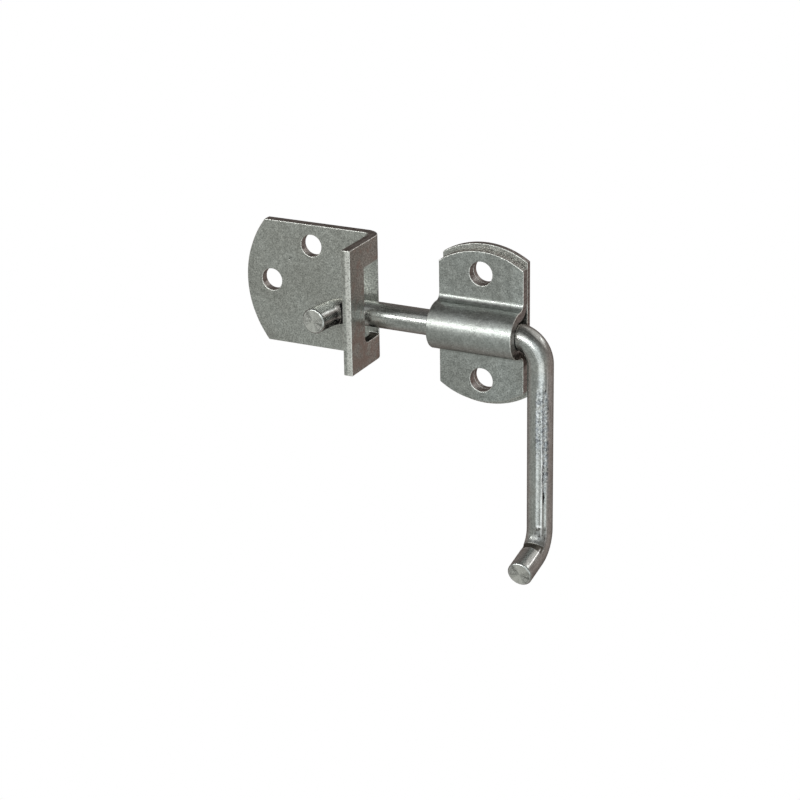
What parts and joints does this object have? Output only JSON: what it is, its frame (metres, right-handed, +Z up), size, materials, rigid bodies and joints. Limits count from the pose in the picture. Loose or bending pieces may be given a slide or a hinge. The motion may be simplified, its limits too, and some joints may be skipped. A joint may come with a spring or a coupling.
{
  "type": "gravity gate latch",
  "caption": "Gravity gate latch: a bent round-bar rod turns in a formed strap and hooks behind a slotted keeper bracket; lifting its handle frees it.",
  "frame": {"origin": "on the mounting plane, midway between the strap's two bolt holes, straight behind the rod's axis", "axes": "+X along the rod from the keeper to the handle, +Y back into the gate (the front faces -Y), +Z up"},
  "size_m": [0.1697, 0.0369, 0.159],
  "materials": {
    "keeper_steel": "raw tumbled mill steel, satin",
    "strap_steel": "raw tumbled mill steel, satin",
    "backing_steel": "raw tumbled mill steel, satin",
    "bar_steel": "raw drawn bar, semi-bright with rubbed marks"
  },
  "bodies": {
    "mount": {"strap": "strap_steel", "back_plate": "backing_steel"},
    "keeper": {"keeper_bracket": "keeper_steel"},
    "rod": {"latch_rod": "bar_steel"}
  },
  "joints": [
    {"name": "rod_slide", "type": "slide", "parent": "mount", "child": "keeper", "axis": [1, 0, 0], "range_m": [0, 0.03]},
    {"name": "rod_turn", "type": "hinge", "parent": "keeper", "child": "rod", "pos_m": [0, -0.01151, 0], "axis": [-1, 0, 0], "range_deg": [0, 90]}
  ]
}
